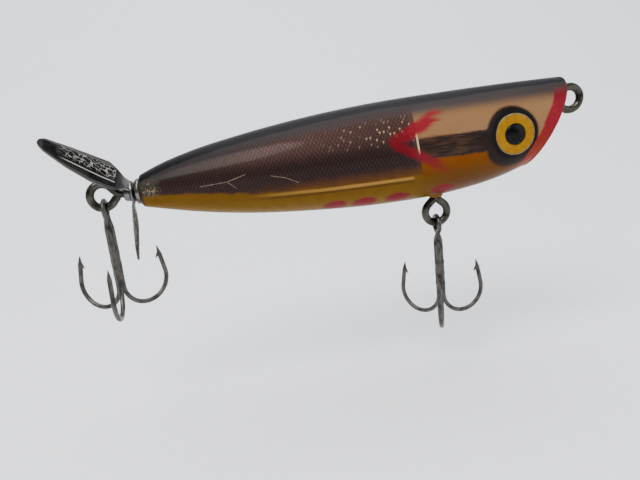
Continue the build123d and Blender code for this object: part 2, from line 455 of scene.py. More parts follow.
# painted highlight and painted shade at the step between the inserts
STEP_HIGHLIGHT = (0.62, 0.44, 0.24)
STEP_SHADE = (0.06, 0.03, 0.025)
BARE_DARK = (0.040, 0.034, 0.026)
# painted glints in the worn tail end
BARE_GLINT = (0.26, 0.21, 0.12)
TAIL_RIM = (0.012, 0.009, 0.006)
MASK = (0.013, 0.008, 0.007)
MASK_RING = (0.003, 0.003, 0.003)
GILL_RED = (0.150, 0.004, 0.011)
GILL_BRIGHT = (0.215, 0.008, 0.020)
GILL_DARK = (0.060, 0.003, 0.005)
SPOT_RED = (0.125, 0.003, 0.006)
BACK_GREY = (0.021, 0.018, 0.019)
BACK_BLACK = (0.0055, 0.005, 0.006)
NOSE_RED = (0.180, 0.007, 0.014)
NOSE_LOW = (0.190, 0.019, 0.004)
NOSE_WORN = (0.32, 0.03, 0.03)
NOSE_PATCH = (0.110, 0.004, 0.006)
NOSE_TOP = (0.060, 0.010, 0.013)
SCRATCH = (0.36, 0.26, 0.18)

# where the paint's marks lie: stations and heights in millimetres
SCALE_LENGTH = 0.8
SCALE_HEIGHT = 1.3
STEP_X = 54.75
GILL_UPPER = ((50.3, 4.2), (60.0, 8.6))
GILL_LOWER = ((50.8, 3.4), (61.0, -2.4))
THROAT_SPOTS = ((38.0, -7.4), (44.0, -7.4), (50.8, -7.3), (60.4, -6.8))
SPOT_SIZE = (2.7, 1.25)
SCRATCHES = (
    ((12.0, 0.3), (17.2, 0.7)),
    ((17.2, 0.7), (20.8, 1.7)),
    ((17.2, 0.7), (19.0, -0.9)),
    ((25.7, 0.9), (28.4, 0.2)),
    ((28.4, 0.2), (30.9, -1.1)),
)


class HullGraph(Graph):
    """The hull's paint, with the stored place of each point and the noises that its marks share.

    x and z are the station and height, girth runs round the hull, level is -1 at the belly and 1
    at the back, drop is the depth under the back and face the distance past the slanted face.
    """

    def __init__(self, name):
        super().__init__(name)
        self.x = self.attribute("along")
        self.z = self.attribute("height")
        self.girth = self.attribute("girth")
        self.level = self.attribute("level")
        self.drop = self.attribute("drop")
        self.face = self.attribute("face")
        self.blotch = self.noise(2.2, 4.0)
        self.fine = self.noise(0.35, 3.0)
        streak = self.noise(0.5, 3.0, stretch=(0.06, 1.0, 1.0))
        self.cloud = self.blotch - 0.5
        self.grit = self.fine - 0.5
        self.brush = streak - 0.5


def scale_net(h):
    """The net of scales, the place within a scale along its two diagonals and a number for each."""
    rise = h.x * (1 / SCALE_LENGTH) + h.girth * (1 / SCALE_HEIGHT) + h.grit * 0.12
    fall = h.x * (1 / SCALE_LENGTH) - h.girth * (1 / SCALE_HEIGHT) + h.grit * 0.12
    rise_part = h.math("FRACT", rise)
    fall_part = h.math("FRACT", fall)
    rise_line = h.ramp(h.math("ABSOLUTE", rise_part - 0.5), 0.30, 0.48)
    fall_line = h.ramp(h.math("ABSOLUTE", fall_part - 0.5), 0.32, 0.48)
    net = h.math("MAXIMUM", rise_line, fall_line * h.ramp(h.x, 18.0, 34.0) * 0.85)
    chance = h.dice(h.math("FLOOR", rise), h.math("FLOOR", fall))
    return net, rise_part, fall_part, chance


def copper_scales(h, net, rise_part, fall_part, chance):
    """Copper scales with painted light and shade across each scale, darker towards the tail, and painted
    glints on a few near the gill mark.
    """
    # painted light and shade across each scale, with a random tone for each scale
    edge = h.ramp(rise_part * (1 - fall_part), 0.0, 0.6)
    copper = h.mix(edge * 0.6 + chance * 0.2, COPPER_SHADE, COPPER_LIGHT)
    copper = h.mix(net * 0.72, copper, COPPER_LINE)
    # painted glints: highlights painted on a few scales near the gill mark
    near_gill = h.ramp(h.x, 33.0, 50.0) * h.band(h.level, 0.32, 0.62, 0.15)
    lit_part = h.band(rise_part, 0.30, 0.62, 0.15) * h.ramp(fall_part, 0.45, 0.8)
    glint = lit_part * h.ramp(chance, 0.74, 0.86)
    copper = h.mix(glint * near_gill * 0.9, copper, GLINT)
    return h.mix(h.ramp(h.x, 34.0, 8.0) * 0.85, copper, COPPER_TAIL)


def scaled_flank(h, net, copper):
    """Copper above, a dark band, brown under it and the olive belly."""
    wobble = h.cloud * 0.22
    band = h.mix(net, BAND, BAND_LINE)
    side = h.mix(h.ramp(h.level + wobble * 0.5, 0.12, 0.44), band, copper)
    brown = h.ramp(h.level + wobble * 0.6, -0.12, -0.36) * h.ramp(h.x, 14.0, 40.0)
    side = h.mix(brown, side, LOW_BROWN)
    olive = h.mix(h.ramp(h.level, -0.35, -0.95), OLIVE, OLIVE_LOW)
    olive = h.mix(h.ramp(h.blotch, 0.35, 0.75) * 0.35, olive, OLIVE_PATCH)
    olive_line = h.level + wobble * 0.6 + h.grit * 0.06 - h.ramp(h.x, 28.0, 0.0) * 0.19
    return h.mix(h.ramp(olive_line, -0.31, -0.43), side, olive)


def insert_edge(h, side):
    """The lower edge of the scaled insert: a painted highlight along its ridge with a painted shade line
    under it.
    """
    span = h.ramp(h.x, 20.0, 27.0) * h.ramp(h.x, 54.2, 53.4)
    edge = h.z + h.ramp(h.x, 20.0, 40.0) * 0.35 + h.brush * 0.3
    # painted highlight along the insert's ridge
    edge_highlight = h.band(edge, -3.15, -2.75, 0.25) * span * h.ramp(h.x, 8.0, 46.0)
    side = h.mix(edge_highlight * 0.9, side, EDGE_HIGHLIGHT)
    # painted shade line under the ridge
    return h.mix(h.band(edge, -3.75, -3.45, 0.2) * span * 0.7, side, EDGE_SHADE)


def smooth_head(h):
    """The smooth cheek in front of the scales, with its stripe and the amber below."""
    cheek = h.mix(h.ramp(h.fine, 0.35, 0.7) * 0.4, CHEEK, CHEEK_GRAIN)
    cheek = h.mix(h.ramp(h.drop, 4.6, 1.9), cheek, CHEEK_TOP)
    amber = h.mix(h.ramp(h.z, 0.5, -5.5), AMBER, AMBER_LOW)
    amber = h.mix(h.ramp(h.blotch, 0.4, 0.8) * 0.3, amber, AMBER_PATCH)
    head = h.mix(h.ramp(h.z + h.grit * 0.5, 0.55, 0.05), cheek, amber)
    stripe = h.band(h.z + h.brush * 0.5 + h.grit * 0.7, 0.35, 4.15, 0.5)
    hair = h.noise(0.3, 3.0, stretch=(0.08, 1.0, 1.0))
    tone = h.mix(h.ramp(hair, 0.4, 0.66), STRIPE, STRIPE_HAIR)
    tone = h.mix(h.ramp(h.x, 62.0, 69.0) * 0.7, tone, STRIPE_FRONT)
    return h.mix(stripe * h.ramp(h.x, 78.0, 74.0), head, tone)


def join_inserts(h, side, head, step):
    """The flank and the head on either side of the step between the two inserts, with a painted highlight
    along the step and painted shade just behind it.
    """
    throat = h.ramp(h.z, -2.9, -3.9)
    ahead = h.blend(throat, h.ramp(step, -0.12, 0.12), h.ramp(h.x, 50.0, 64.0))
    paint = h.mix(ahead, side, head)
    # painted highlight along the step's edge
    line = h.band(step, -0.10, 0.10, 0.14) * h.band(h.z, 1.7, 5.3, 0.5)
    paint = h.mix(line, paint, STEP_HIGHLIGHT)
    # painted shade just behind the step, on the tail side
    shade = h.band(step, -0.9, -0.15, 0.3) * h.ramp(h.z, -3.0, 2.0)
    return h.mix(shade * 0.45, paint, STEP_SHADE)


def bare_tail(h, paint):
    """The mottled end at the tail, where paint has worn off, with painted glints in the worn patch."""
    bare = h.band(h.x + h.cloud * 4.0, 1.0, 2.6, 2.4) * h.ramp(h.level, -0.45, 0.1)
    paint = h.mix(bare * 0.7, paint, BARE_DARK)
    # painted glints: pale gold highlights in the worn patch
    paint = h.mix(bare * h.ramp(h.fine + h.cloud * 0.6, 0.5, 0.7) * 0.7, paint, BARE_GLINT)
    return h.mix(h.ramp(h.x + h.grit * 0.6, 0.9, 0.3) * 0.8, paint, TAIL_RIM)


def eye_mask(h, paint):
    """Black round the eye, softer below and darkest next to the iris."""
    eye_z = h.z - (EYE_Z - 0.1)
    low = h.ramp(eye_z, 0.0, -5.0)
    reach = h.distance(h.x - (EYE_X - 0.5), eye_z) + h.grit * 0.5 * low
    paint = h.mix(h.ramp(reach - low * 0.9, 6.05, 5.35), paint, MASK)
    ring = h.distance(h.x - EYE_X, h.z - EYE_Z)
    return h.mix(h.ramp(ring, 5.3, 4.8) * 0.85, paint, MASK_RING)


def gill_mark(h, paint):
    """Two ragged red brush strokes that meet behind the cheek."""
    uneven = h.cloud * 0.9 + h.brush * 0.7
    upper = h.stroke(h.x, h.z, *GILL_UPPER) + uneven
    lower = h.stroke(h.x, h.z, *GILL_LOWER) + uneven
    ragged = h.x + h.brush * 7.0
    cover = h.ramp(h.fine, 0.10, 0.4)
    upper_mark = h.ramp(upper, 1.7, 0.6) * cover * h.ramp(ragged, 61.5, 58.0)
    lower_mark = h.ramp(lower, 1.4, 0.4) * cover * h.ramp(ragged, 62.5, 57.5)
    red = h.mix(h.ramp(h.fine, 0.3, 0.75), GILL_RED, GILL_BRIGHT)
    red = h.mix(h.ramp(h.x, 55.5, 51.0) * 0.55 + h.ramp(h.z, 3.0, 0.0) * 0.4, red, GILL_DARK)
    return h.mix(h.math("MAXIMUM", upper_mark, lower_mark * 0.9) * 0.95, paint, red)


def throat_spots(h, paint):
    """Ragged red spots in a row along the throat."""
    for spot_x, spot_z in THROAT_SPOTS:
        off_x = (h.x - spot_x) * (1 / SPOT_SIZE[0])
        off_z = (h.z - spot_z) * (1 / SPOT_SIZE[1])
        spot = h.distance(off_x, off_z) + h.cloud * 0.7
        paint = h.mix(h.ramp(spot, 1.15, 0.65), paint, SPOT_RED)
    return paint


def black_back(h, paint):
    """Black along the back and a grey edge under it, with how grey or black each point is."""
    back = h.drop + h.brush * 0.5 + h.ramp(h.x, 62.0, 84.0) * 0.25
    grey = h.ramp(back, 3.6, 1.3)
    paint = h.mix(grey * 0.88, paint, BACK_GREY)
    return h.mix(h.ramp(back, 1.35, 1.0), paint, BACK_BLACK), grey


def red_nose(h, paint):
    """A red face and a red rim behind it, darker under the back."""
    red = h.mix(h.ramp(h.z, 4.0, -1.5), NOSE_RED, NOSE_LOW)
    red = h.mix(h.ramp(h.fine, 0.45, 0.8) * 0.3, red, NOSE_WORN)
    red = h.mix(h.ramp(h.blotch, 0.35, 0.7) * 0.35, red, NOSE_PATCH)
    red = h.mix(h.ramp(h.drop, 5.2, 2.4) * 0.55, red, NOSE_TOP)
    rim = h.ramp(h.face + h.cloud * 0.9, -3.15, -2.7) * h.ramp(h.drop, 1.0, 3.2)
    paint = h.mix(rim, paint, red)
    return h.mix(h.ramp(h.face, -0.75, -0.35), paint, red)


def scratch_mask(h):
    """Fine scratches on the tail half."""
    scratch = h.stroke(h.x, h.z, *SCRATCHES[0])
    for ends in SCRATCHES[1:]:
        scratch = h.math("MINIMUM", scratch, h.stroke(h.x, h.z, *ends))
    return h.ramp(scratch + h.grit * 0.16, 0.09, 0.01)


def hull_paint():
    """Black back, copper scales, olive belly, cheek, stripe, gill mark, spots and red nose."""
    h = HullGraph("hull_paint")
    step = h.x - STEP_X - (h.z - 6.0) * (h.z - 6.0) * 0.012
    net, *scale_place = scale_net(h)
    side = insert_edge(h, scaled_flank(h, net, copper_scales(h, net, *scale_place)))
    paint = join_inserts(h, side, smooth_head(h), step)
    for layer in (bare_tail, eye_mask, gill_mark, throat_spots):
        paint = layer(h, paint)
    paint, grey = black_back(h, paint)
    paint = red_nose(h, paint)
    scratch = scratch_mask(h)
    paint = h.mix(scratch * 0.45, paint, SCRATCH)

    scaled = h.ramp(step, 0.12, -0.12) * h.ramp(h.level, -0.35, -0.2)
    metallic = (scaled * 0.28 + h.ramp(step, -0.12, 0.12) * 0.2) * (1 - grey)
    rough = h.blend(scaled, 0.42, 0.38) + h.grit * 0.12
    height = (1 - net) * scaled * (1 - grey) * 0.5 + h.fine * 0.12 - scratch * 0.8
    h.set(Base_Color=paint, Metallic=metallic, Roughness=rough, Normal=h.bump(height, 0.06))
    h.set(Coat_Weight=0.09 - grey * 0.07, Coat_Roughness=0.06, Coat_IOR=1.4, Specular_IOR_Level=0.03)
    return h.material


def glossy(name, tone, deep, size=1.2, rough=0.25, coat=0.10):
    """Moulded or painted plastic with slight mottling under a clear gloss."""
    g = Graph(name)
    cloud = g.noise(size, 4.0)
    grain = g.noise(size * 0.12, 2.0)
    g.set(Base_Color=g.mix(g.ramp(cloud, 0.3, 0.75), tone, deep))
    g.set(Roughness=(grain - 0.5) * 0.15 + rough, Normal=g.bump(grain * 0.5 + cloud, 0.01))
    g.set(Coat_Weight=coat, Coat_Roughness=0.05, Specular_IOR_Level=0.07)
    return g.material


def metal(name, bright, dull, spots, rough, depth=0.02):
    """Worn metal: bright where rubbed, dull patches, dark spots and fine grain."""
    g = Graph(name)
    patch = g.noise(1.6, 5.0)
    speck = g.noise(0.22, 3.0)
    grain = g.noise(0.12, 2.0)
    tone = g.mix(g.ramp(patch, 0.4, 0.7), bright, dull)
    tone = g.mix(g.ramp(speck, 0.62, 0.74) * 0.7, tone, spots)
    g.set(Base_Color=tone, Metallic=1.0)
    g.set(Roughness=(patch - 0.5) * 0.35 + (grain - 0.5) * 0.2 + rough)
    g.set(Normal=g.bump(grain * 0.4 + speck * 0.5 + patch * 0.6, depth))
    return g.material


def etched_blade():
    """Dark nickel blade with a bright raised border and a field of fine scrolled etching."""
    g = Graph("etched_blade")
    field = g.attribute("field")
    along = g.attribute("blade_along")
    across = g.attribute("blade_across")
    warp = g.noise(1.3, 3.0)
    patch = g.noise(2.4, 4.0)
    speck = g.noise(0.25, 3.0)
    scroll = g.math("SINE", along * 1.9 + warp * 10.0 + across * 0.8)
    cross = g.math("SINE", across * 4.0 + warp * 8.0 - along * 0.7)
    scroll_line = g.ramp(g.math("ABSOLUTE", scroll), 0.24, 0.06)
    cross_line = g.ramp(g.math("ABSOLUTE", cross), 0.22, 0.05)
    lines = g.math("MAXIMUM", scroll_line, cross_line)
    inner = g.ramp(field, 0.35, 0.6)
    etched = lines * inner * g.ramp(along, 16.5, 12.5) * g.ramp(across, -0.6, 0.2)
    rule = g.band(across, -0.95, -0.8, 0.06) * inner * g.ramp(along, 15.5, 13.0)
    bright_marks = g.math("MAXIMUM", etched, rule)
    tone = g.mix(g.ramp(patch, 0.35, 0.7), (0.050, 0.048, 0.045), (0.018, 0.017, 0.016))
    tone = g.mix(g.ramp(field, 0.35, 0.12) * 0.7, tone, (0.135, 0.128, 0.12))
    tone = g.mix(bright_marks * 0.9, tone, (0.78, 0.74, 0.66))
    tone = g.mix(g.ramp(along, 3.0, 1.0) * g.ramp(patch, 0.25, 0.5), tone, (0.30, 0.29, 0.265))
    tone = g.mix(g.ramp(speck, 0.66, 0.78) * 0.6, tone, (0.05, 0.035, 0.03))
    g.set(Base_Color=tone, Metallic=1.0, Roughness=(patch - 0.5) * 0.3 + bright_marks * 0.15 + 0.30)
    g.set(Specular_Tint=(0.22, 0.21, 0.20))
    g.set(Normal=g.bump(speck * 0.3 + bright_marks * 0.6 + patch * 0.5, 0.03))
    return g.material


def foil(name, tone, deep):
    """A thin reflective insert with a faint pressed texture."""
    g = Graph(name)
    grain = g.noise(0.5, 3.0)
    cloud = g.noise(3.0, 3.0)
    g.set(Base_Color=g.mix(g.ramp(cloud, 0.3, 0.7), tone, deep), Metallic=0.9)
    g.set(Roughness=grain * 0.2 + 0.15, Normal=g.bump(grain, 0.04))
    return g.material


# ---------------------------------------------------------------- hull

def hull_at(x):
    """Centre height, half height and half width of the hull at a station, by a smooth curve."""
    xs = STATIONS[:, 0]
    slopes = np.gradient(STATIONS[:, 1:], xs, axis=0)
    i = int(np.clip(np.searchsorted(xs, x) - 1, 0, len(xs) - 2))
    span = xs[i + 1] - xs[i]
    t = min(max((x - xs[i]) / span, 0.0), 1.0)
    back, belly, half = (
        STATIONS[i, 1:] * (2 * t**3 - 3 * t**2 + 1) + slopes[i] * span * (t**3 - 2 * t**2 + t)
        + STATIONS[i + 1, 1:] * (-2 * t**3 + 3 * t**2) + slopes[i + 1] * span * (t**3 - t**2)
    )
    return (back + belly) / 2, (back - belly) / 2, half


def hull_row(top_x, side, angles, inset=0.0):
    """One row of hull points from the back seam to the belly seam, leaning more towards the face."""
    lean = tan(FACE_LEAN) * smooth_step(top_x, *LEAN_SPAN)
    row = []
    for angle in angles:
        x = top_x
        for _ in range(4):
            centre, tall, wide = hull_at(x)
            z = centre + (tall - inset) * cos(angle)
            x = top_x - lean * max(LIP_TOP[1] - z, 0.0)
        y = max((wide - inset) * sin(angle), 0.0)
        apart = ((x - EYE_X) ** 2 + (z - EYE_Z) ** 2) ** 0.5
        y = min(y, IRIS_FRONT - 0.12 + 2.0 * smooth_step(apart, IRIS_RADIUS + 0.15, IRIS_RADIUS + 2.2))
        row.append(Vector((max(x, 0.0), side * y, z)))
    return row


def hull_rows(side, angles):
    """All rows of a half hull: tail face, rounded tail edge, flank, rounded lip and dished face."""
    rows = []
    end_radius = STATIONS[0, 1]
    for share in (0.0, 0.35, 0.7):
        rows.append(hull_row(0.0, side, angles, inset=end_radius - (end_radius - TAIL_ROUND) * share))
    for step in range(7):
        turn = pi / 2 * step / 6
        rows.append(hull_row(TAIL_ROUND * (1 - cos(turn)), side, angles, TAIL_ROUND * (1 - sin(turn))))
    lip_x = LIP_TOP[0] - LIP_ROUND / cos(FACE_LEAN)
    for step in range(1, 241):
        rows.append(hull_row(TAIL_ROUND + (lip_x - TAIL_ROUND) * step / 240, side, angles))
    normal = Vector((cos(FACE_LEAN), 0, -sin(FACE_LEAN)))
    rim = rows[-1]
    middle = (rim[0] + rim[-1]) / 2
    inward = [(middle - p).normalized() for p in rim]
    for step in range(1, 8):
        turn = pi / 2 * step / 7
        rows.append([
            p + normal * LIP_ROUND * sin(turn) + into * LIP_ROUND * (1 - cos(turn))
            for p, into in zip(rim, inward)
        ])
    lip = rows[-1]
    middle = middle + normal * LIP_ROUND
    for step in range(1, 31):
        share = step / 30
        dip = DISH_DEPTH * smooth_step(share, -0.75, 0.95) - DISH_DEPTH * smooth_step(0.0, -0.75, 0.95)
        rows.append([p.lerp(middle, share) - normal * dip for p in lip])
    return rows


def seam_cap(piece):
    """Closes a half hull along the seam, where its edges lie open."""
    shell = bmesh.new()
    shell.from_mesh(piece.data)
    open_edges = [e for e in shell.edges if e.is_boundary]
    made = bmesh.ops.contextual_create(shell, geom=open_edges)
    bmesh.ops.triangulate(shell, faces=made["faces"])
    bmesh.ops.recalc_face_normals(shell, faces=shell.faces)
    shell.to_mesh(piece.data)
    shell.free()


def paint_guides(piece):
    """Stores where each point lies on the hull, for the paint."""
    mesh = piece.data
    count = len(mesh.vertices)
    flat = np.empty(count * 3)
    mesh.vertices.foreach_get("co", flat)
    local = (flat.reshape(-1, 3) - np.array(TAIL_FACE)) / MM
    guides = {name: np.empty(count) for name in ("along", "height", "girth", "level", "drop", "face")}
    for i, (x, y, z) in enumerate(local):
        centre, tall, wide = hull_at(x)
        guides["along"][i] = x
        guides["height"][i] = z
        guides["girth"][i] = atan2(abs(y) / wide, (z - centre) / tall) * (tall + wide) / 2
        guides["level"][i] = (z - centre) / tall
        guides["drop"][i] = centre + tall - z
        guides["face"][i] = (x - LIP_TOP[0]) * cos(FACE_LEAN) - (z - LIP_TOP[1]) * sin(FACE_LEAN)
    for name, values in guides.items():
        mesh.attributes.new(name, "FLOAT", "POINT").data.foreach_set("value", values)


def make_shell(label, side, material):
    """One painted half of the hull, in place of its CAD shell."""
    columns = 72
    angles = [pi * k / columns for k in range(columns + 1)]
    shell = in_metres(skin(hull_rows(side, angles)), TAIL_FACE)
    name = f"painted_half_{label}"
    piece = new_piece(name, shell, material, "hull", (f"body_shell_{label}",))
    seam_cap(piece)
    shade_smooth(piece.data)
    paint_guides(piece)


def make_belly_pad(material):
    """The small moulded collar round the belly screw."""
    foot = (BELLY_RING - TAIL_FACE) / MM
    profile = [(0.0, 0.0), (0.0, 1.35), (0.18, 1.62), (0.5, 1.72), (1.4, 1.9), (1.6, 0.0)]
    shell = in_metres(lathe(profile, (foot.x, 0, BELLY_PAD_Z), (0, 0, 1)), TAIL_FACE)
    new_piece("belly_pad", shell, material, "hull")


def make_eye(side, label, iris_material, rim_material, pupil_material):
    """A flat glossy iris with a pale rim, and the domed pupil let into it."""
    axis = (0, side, 0)
    origin = (EYE_X, 0, EYE_Z)
    front = IRIS_FRONT
    iris = [
        (IRIS_BACK, 0.0),
        (IRIS_BACK, IRIS_RADIUS),
        (front - 0.28, IRIS_RADIUS),
        (front - 0.1, IRIS_RADIUS - 0.06),
        (front - 0.02, IRIS_RADIUS - 0.2),
        (front, IRIS_RADIUS - 0.4),
        (front + 0.01, IRIS_RADIUS - 1.0),
        (front - 0.02, PUPIL_RADIUS + 0.12),
        (front - 0.15, PUPIL_RADIUS + 0.02),
        (front - 0.4, PUPIL_RADIUS),
        (front - 0.4, 0.0),
    ]
    shell = in_metres(lathe(iris, origin, axis), TAIL_FACE)
    new_piece(f"iris_{label}", shell, iris_material, "hull", (f"eye_iris_{label}",))
    rim = [
        (front - 0.6, IRIS_RADIUS - 0.02),
        (front - 0.6, IRIS_RADIUS + 0.14),
        (front - 0.2, IRIS_RADIUS + 0.14),
        (front - 0.06, IRIS_RADIUS + 0.05),
        (front - 0.06, IRIS_RADIUS - 0.06),
        (front - 0.2, IRIS_RADIUS - 0.04),
    ]
    shell = in_metres(lathe(rim, origin, axis), TAIL_FACE)
    new_piece(f"iris_rim_{label}", shell, rim_material, "hull")
    dome = [(PUPIL_BACK, 0.0), (PUPIL_BACK, PUPIL_RADIUS)]
    for step in range(13):
        turn = pi / 2 * step / 12
        dome.append((front - 0.06 + (PUPIL_FRONT - front) * sin(turn), PUPIL_RADIUS * cos(turn)))
    shell = in_metres(lathe(dome, origin, axis), TAIL_FACE)
    new_piece(f"pupil_{label}", shell, pupil_material, "hull", (f"eye_pupil_{label}",))


# ---------------------------------------------------------------- fittings

def make_screw_eye(name, centre, inward, across, length, material):
    """A screw eye bent from one wire: shank, neck, ring and a cut end that closes on the neck."""
    inward = Vector(inward)
    across = Vector(across)
    start = radians(34)
    shank = [inward * (length - (length - EYE_RING - 1.5) * k / 10) for k in range(10)]
    ring_start = (inward * cos(start) + across * sin(start)) * EYE_RING
    ring_pull = (inward * -sin(start) + across * cos(start)) * 1.6
    neck = blend_points(inward * (EYE_RING + 1.5), inward * -1.6, ring_start, ring_pull, 9)
    ring = []
    for k in range(1, 61):
        turn = start + (radians(318) - start) * k / 60
        ring.append((inward * cos(turn) + across * sin(turn)) * EYE_RING)
    away = inward * -sin(turn) + across * cos(turn)
    ring += [ring[-1] + away * 0.32 * k for k in range(1, 7)]
    path = shank + neck + ring
    radii = [0.15, 0.6] + [EYE_WIRE] * (len(path) - 4) + [EYE_WIRE * 0.98, EYE_WIRE * 0.88]
    shell = in_metres(tube(path, radii, sides=28), centre)
    new_piece(name + "_wire", shell, material, "hull", (name,))


def make_cup(name, mouth_x, mouth_radius, depth, material):
    """A domed bearing cup with a rolled mouth."""
    wall = 0.3
    outside = []
    inside = []
    for step in range(11):
        turn = pi / 2 * step / 10
        bulge = cos(turn) ** 0.8
        along = mouth_x - 0.15 - (depth - 0.15) * sin(turn)
        outside.append((along, BORE + 0.25 + (mouth_radius - BORE - 0.25) * bulge))
        inside.append((along + wall * sin(turn), BORE + 0.2 + (mouth_radius - wall - BORE - 0.2) * bulge))
    lip = [(mouth_x, mouth_radius - wall * 0.3), (mouth_x, mouth_radius - wall * 0.8)]
    neck = [(mouth_x - depth, BORE), (mouth_x - depth + wall, BORE)]
    profile = outside + neck + inside[::-1] + lip[::-1]
    shell = in_metres(lathe(profile, (0, 0, 0), (1, 0, 0)), TAIL_FACE)
    new_piece(name + "_dome", shell, material, "hull", (name,))


def blade_half_width(share, leading):
    """Half width at a share of a blade's length, for its straight leading or curved trailing edge."""
    shares = (0.0, 0.08, 0.16, 0.26, 0.45, 0.70, 1.0)
    widths = (1.3, 1.5, 2.4, 3.2, 2.75, 2.1, 1.15)
    if not leading:
        widths = (1.3, 1.6, 2.5, 3.05, 3.2, 2.65, 1.15)
    past = max(share - (1 - BLADE_TIP), 0.0) / BLADE_TIP
    return float(np.interp(share, shares, widths)) * max(1 - past * past, 0.0) ** 0.5


def blade_shell(azimuth, sweep):
    """One blade: twisted neck, raised border and inner field, as a closed shell with its guides."""
    turn = Matrix.Rotation(-radians(azimuth), 3, "X")
    lean = radians(sweep)
    tip = 1 - BLADE_TIP + BLADE_TIP * np.sin(np.linspace(0.0, pi / 2, 15)[1:])
    lengths = np.concatenate([np.linspace(0.0, 1 - BLADE_TIP, 70), tip])
    border_shares = np.linspace(0.72, 1.0, 7)
    shares = np.concatenate([-border_shares[::-1], np.linspace(-0.66, 0.66, 23), border_shares])
    grid = {1: [], -1: []}
    guides = {1: [], -1: []}
    for share in lengths:
        run = share * BLADE_LENGTH
        bent = lean * smooth_step(run, -0.4, 1.6)
        start = Vector((0, 0, BLADE_ROOT))
        centre = start + Vector((-sin(lean), 0, cos(lean))) * run
        pitch = BLADE_PITCH * smooth_step(run, 0.0, 3.0)
        length_dir = Vector((-sin(bent), 0, cos(bent)))
        chord = Matrix.Rotation(-pitch, 3, length_dir) @ Vector((0, 1, 0))
        normal = chord.cross(length_dir).normalized()
        for face in (1, -1):
            row = []
            row_guides = []
            for v in shares:
                offset = v * blade_half_width(share, v > 0)
                border = smooth_step(abs(v), 0.76, 0.84) * smooth_step(run, 3.0, 5.0)
                edge = smooth_step(abs(v), 1.0, 0.93) if abs(v) < 1 else 0.0
                thick = (BLADE_THICK / 2 - 0.05 + 0.07 * border) * (0.35 + 0.65 * edge)
                belly = -0.35 * (1 - v * v) * smooth_step(run, 2.0, 7.0) * smooth_step(share, 1.0, 0.8)
                row.append(turn @ (centre + chord * offset + normal * (face * thick + belly)))
                inner = (1 - smooth_step(abs(v), 0.68, 0.80)) * smooth_step(run, 2.6, 4.4)
                row_guides.append((inner * smooth_step(share, 0.97, 0.90), run, offset))
            grid[face].append(row)
            guides[face].append(row_guides)
    front = skin(grid[1])
    count = len(shares)
    rows = len(lengths)
    points = front[0] + skin(grid[-1])[0]
    faces = list(front[1]) + [tuple(i + rows * count for i in reversed(face)) for face in front[1]]
    border_loop = [i * count for i in range(rows)] + [(rows - 1) * count + j for j in range(1, count)]
    border_loop += [i * count + count - 1 for i in range(rows - 2, -1, -1)] + list(range(count - 2, 0, -1))
    for a, b in zip(border_loop, border_loop[1:] + border_loop[:1]):
        faces.append((a, b, b + rows * count, a + rows * count))
    flat_guides = [guide for face in (1, -1) for row in guides[face] for guide in row]
    return (points, faces), flat_guides


def make_propeller(material):
    """The stamped propeller: a flat bored hub and two bent blades."""
    half = HUB_THICK / 2
    outline = [
        (-half, BORE),
        (-half, HUB_RADIUS - 0.1),
        (-half + 0.1, HUB_RADIUS),
        (half - 0.1, HUB_RADIUS),
        (half, HUB_RADIUS - 0.1),
        (half, BORE),
    ]
    hub = lathe(outline, (0, 0, 0), (1, 0, 0))
    blades = [blade_shell(*blade) for blade in BLADES]
    shell = in_metres(join(hub, *(blade for blade, _ in blades)), HUB)
    rows = [HUB_GUIDE] * len(hub[0]) + [guide for _, blade_guides in blades for guide in blade_guides]
    guides = dict(zip(("field", "blade_along", "blade_across"), zip(*rows)))
    new_piece("stamped_propeller", shell, material, "prop", ("propeller",), guides)


# ---------------------------------------------------------------- treble hooks

def hook_path(azimuth, top):
    """Points and radii of one hook from the top of its shank to its needle point, and its barb."""
    out = Vector((cos(radians(azimuth)), sin(radians(azimuth)), 0))
    up = Vector((0, 0, 1))
    bend_z = -HOOK_LENGTH + HOOK_WIRE + HOOK_BEND
    middle = out * (SHANK_OFFSET + HOOK_BEND) + up * bend_z
    path = [out * SHANK_OFFSET + up * (top + (bend_z - top) * k / 12) for k in range(13)]
    for k in range(1, 41):
        turn = pi + HOOK_TURN * k / 40
        path.append(middle + (out * cos(turn) + up * sin(turn)) * HOOK_BEND)
    end = HOOK_TURN - pi
    along = out * -sin(end) + up * cos(end)
    inward = out * -cos(end) - up * sin(end)
    leg_start = path[-1]
    path += [leg_start + along * HOOK_LEG * k / 5 for k in range(1, 6)]
    radii = [HOOK_WIRE] * len(path)
    leg_end = path[-1]
    for k in range(1, 9):
        path.append(leg_end + along * HOOK_POINT * k / 8)
        radii.append(HOOK_WIRE * (1 - k / 8) ** 0.85 + 0.03)
    barb_foot = leg_end + along * 0.5 + inward * 0.1
    barb = []
    for k in (0, 0.6, 1.2, 1.7, 2.05):
        barb.append(barb_foot + (inward * 0.52 * k - along * (0.34 * k + 0.10 * k * k)))
    return path, radii, tube(barb, (0.34, 0.30, 0.22, 0.12, 0.02), sides=10)


